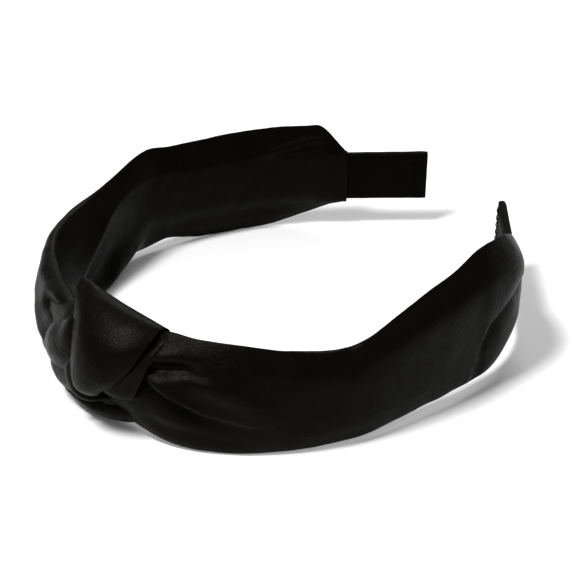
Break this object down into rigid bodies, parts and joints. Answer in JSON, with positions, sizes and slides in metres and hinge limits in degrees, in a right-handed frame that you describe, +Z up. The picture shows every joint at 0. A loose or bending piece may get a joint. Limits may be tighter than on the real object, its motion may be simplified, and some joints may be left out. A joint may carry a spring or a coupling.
{
  "type": "knotted headband",
  "caption": "Knotted hard headband: a sprung hoop in flattened satin sleeves that meet in a tied knot over the crown, with flat satin-covered tips.",
  "frame": {"origin": "on the floor under the middle of the band's box, with the band lying on the lower edges of its sleeves", "axes": "+Z up across the width of the band, -Y towards the knot, +Y towards the tips, +X towards the right arm, which is at the right when the knot faces the viewer"},
  "size_m": [0.13, 0.1616, 0.036],
  "materials": {
    "black_satin": "fine polyester satin, low soft sheen",
    "hoop_plastic": "moulded strip",
    "foam": "thin open-cell padding",
    "thread": "twisted polyester thread",
    "hot_melt_glue": "hot-melt glue"
  },
  "bodies": {
    "crown": {"hoop_crown": "hoop_plastic", "crown_glue_pad": "hot_melt_glue", "knot_core": "black_satin", "knot_wrap": "black_satin", "knot_fold": "black_satin", "knot_tack_stitches": "thread"},
    "left_arm": {"hoop_left_arm": "hoop_plastic", "left_foam_strip": "foam", "left_sleeve": "black_satin", "left_tip_cover": "black_satin", "left_tip_stitches": "thread", "left_glue_pad": "hot_melt_glue"},
    "right_arm": {"hoop_right_arm": "hoop_plastic", "right_foam_strip": "foam", "right_sleeve": "black_satin", "right_tip_cover": "black_satin", "right_tip_stitches": "thread", "right_glue_pad": "hot_melt_glue"}
  },
  "joints": [
    {"name": "left_arm_flex", "type": "hinge", "parent": "crown", "child": "left_arm", "pos_m": [-0.01588, -0.0652, 0.018], "axis": [0, 0, 1], "range_deg": [-4, 12], "stiffness_Nm_per_rad": 1.5},
    {"name": "right_arm_flex", "type": "hinge", "parent": "crown", "child": "right_arm", "pos_m": [0.02317, -0.06088, 0.018], "axis": [0, 0, -1], "range_deg": [-4, 12], "stiffness_Nm_per_rad": 1.5}
  ]
}
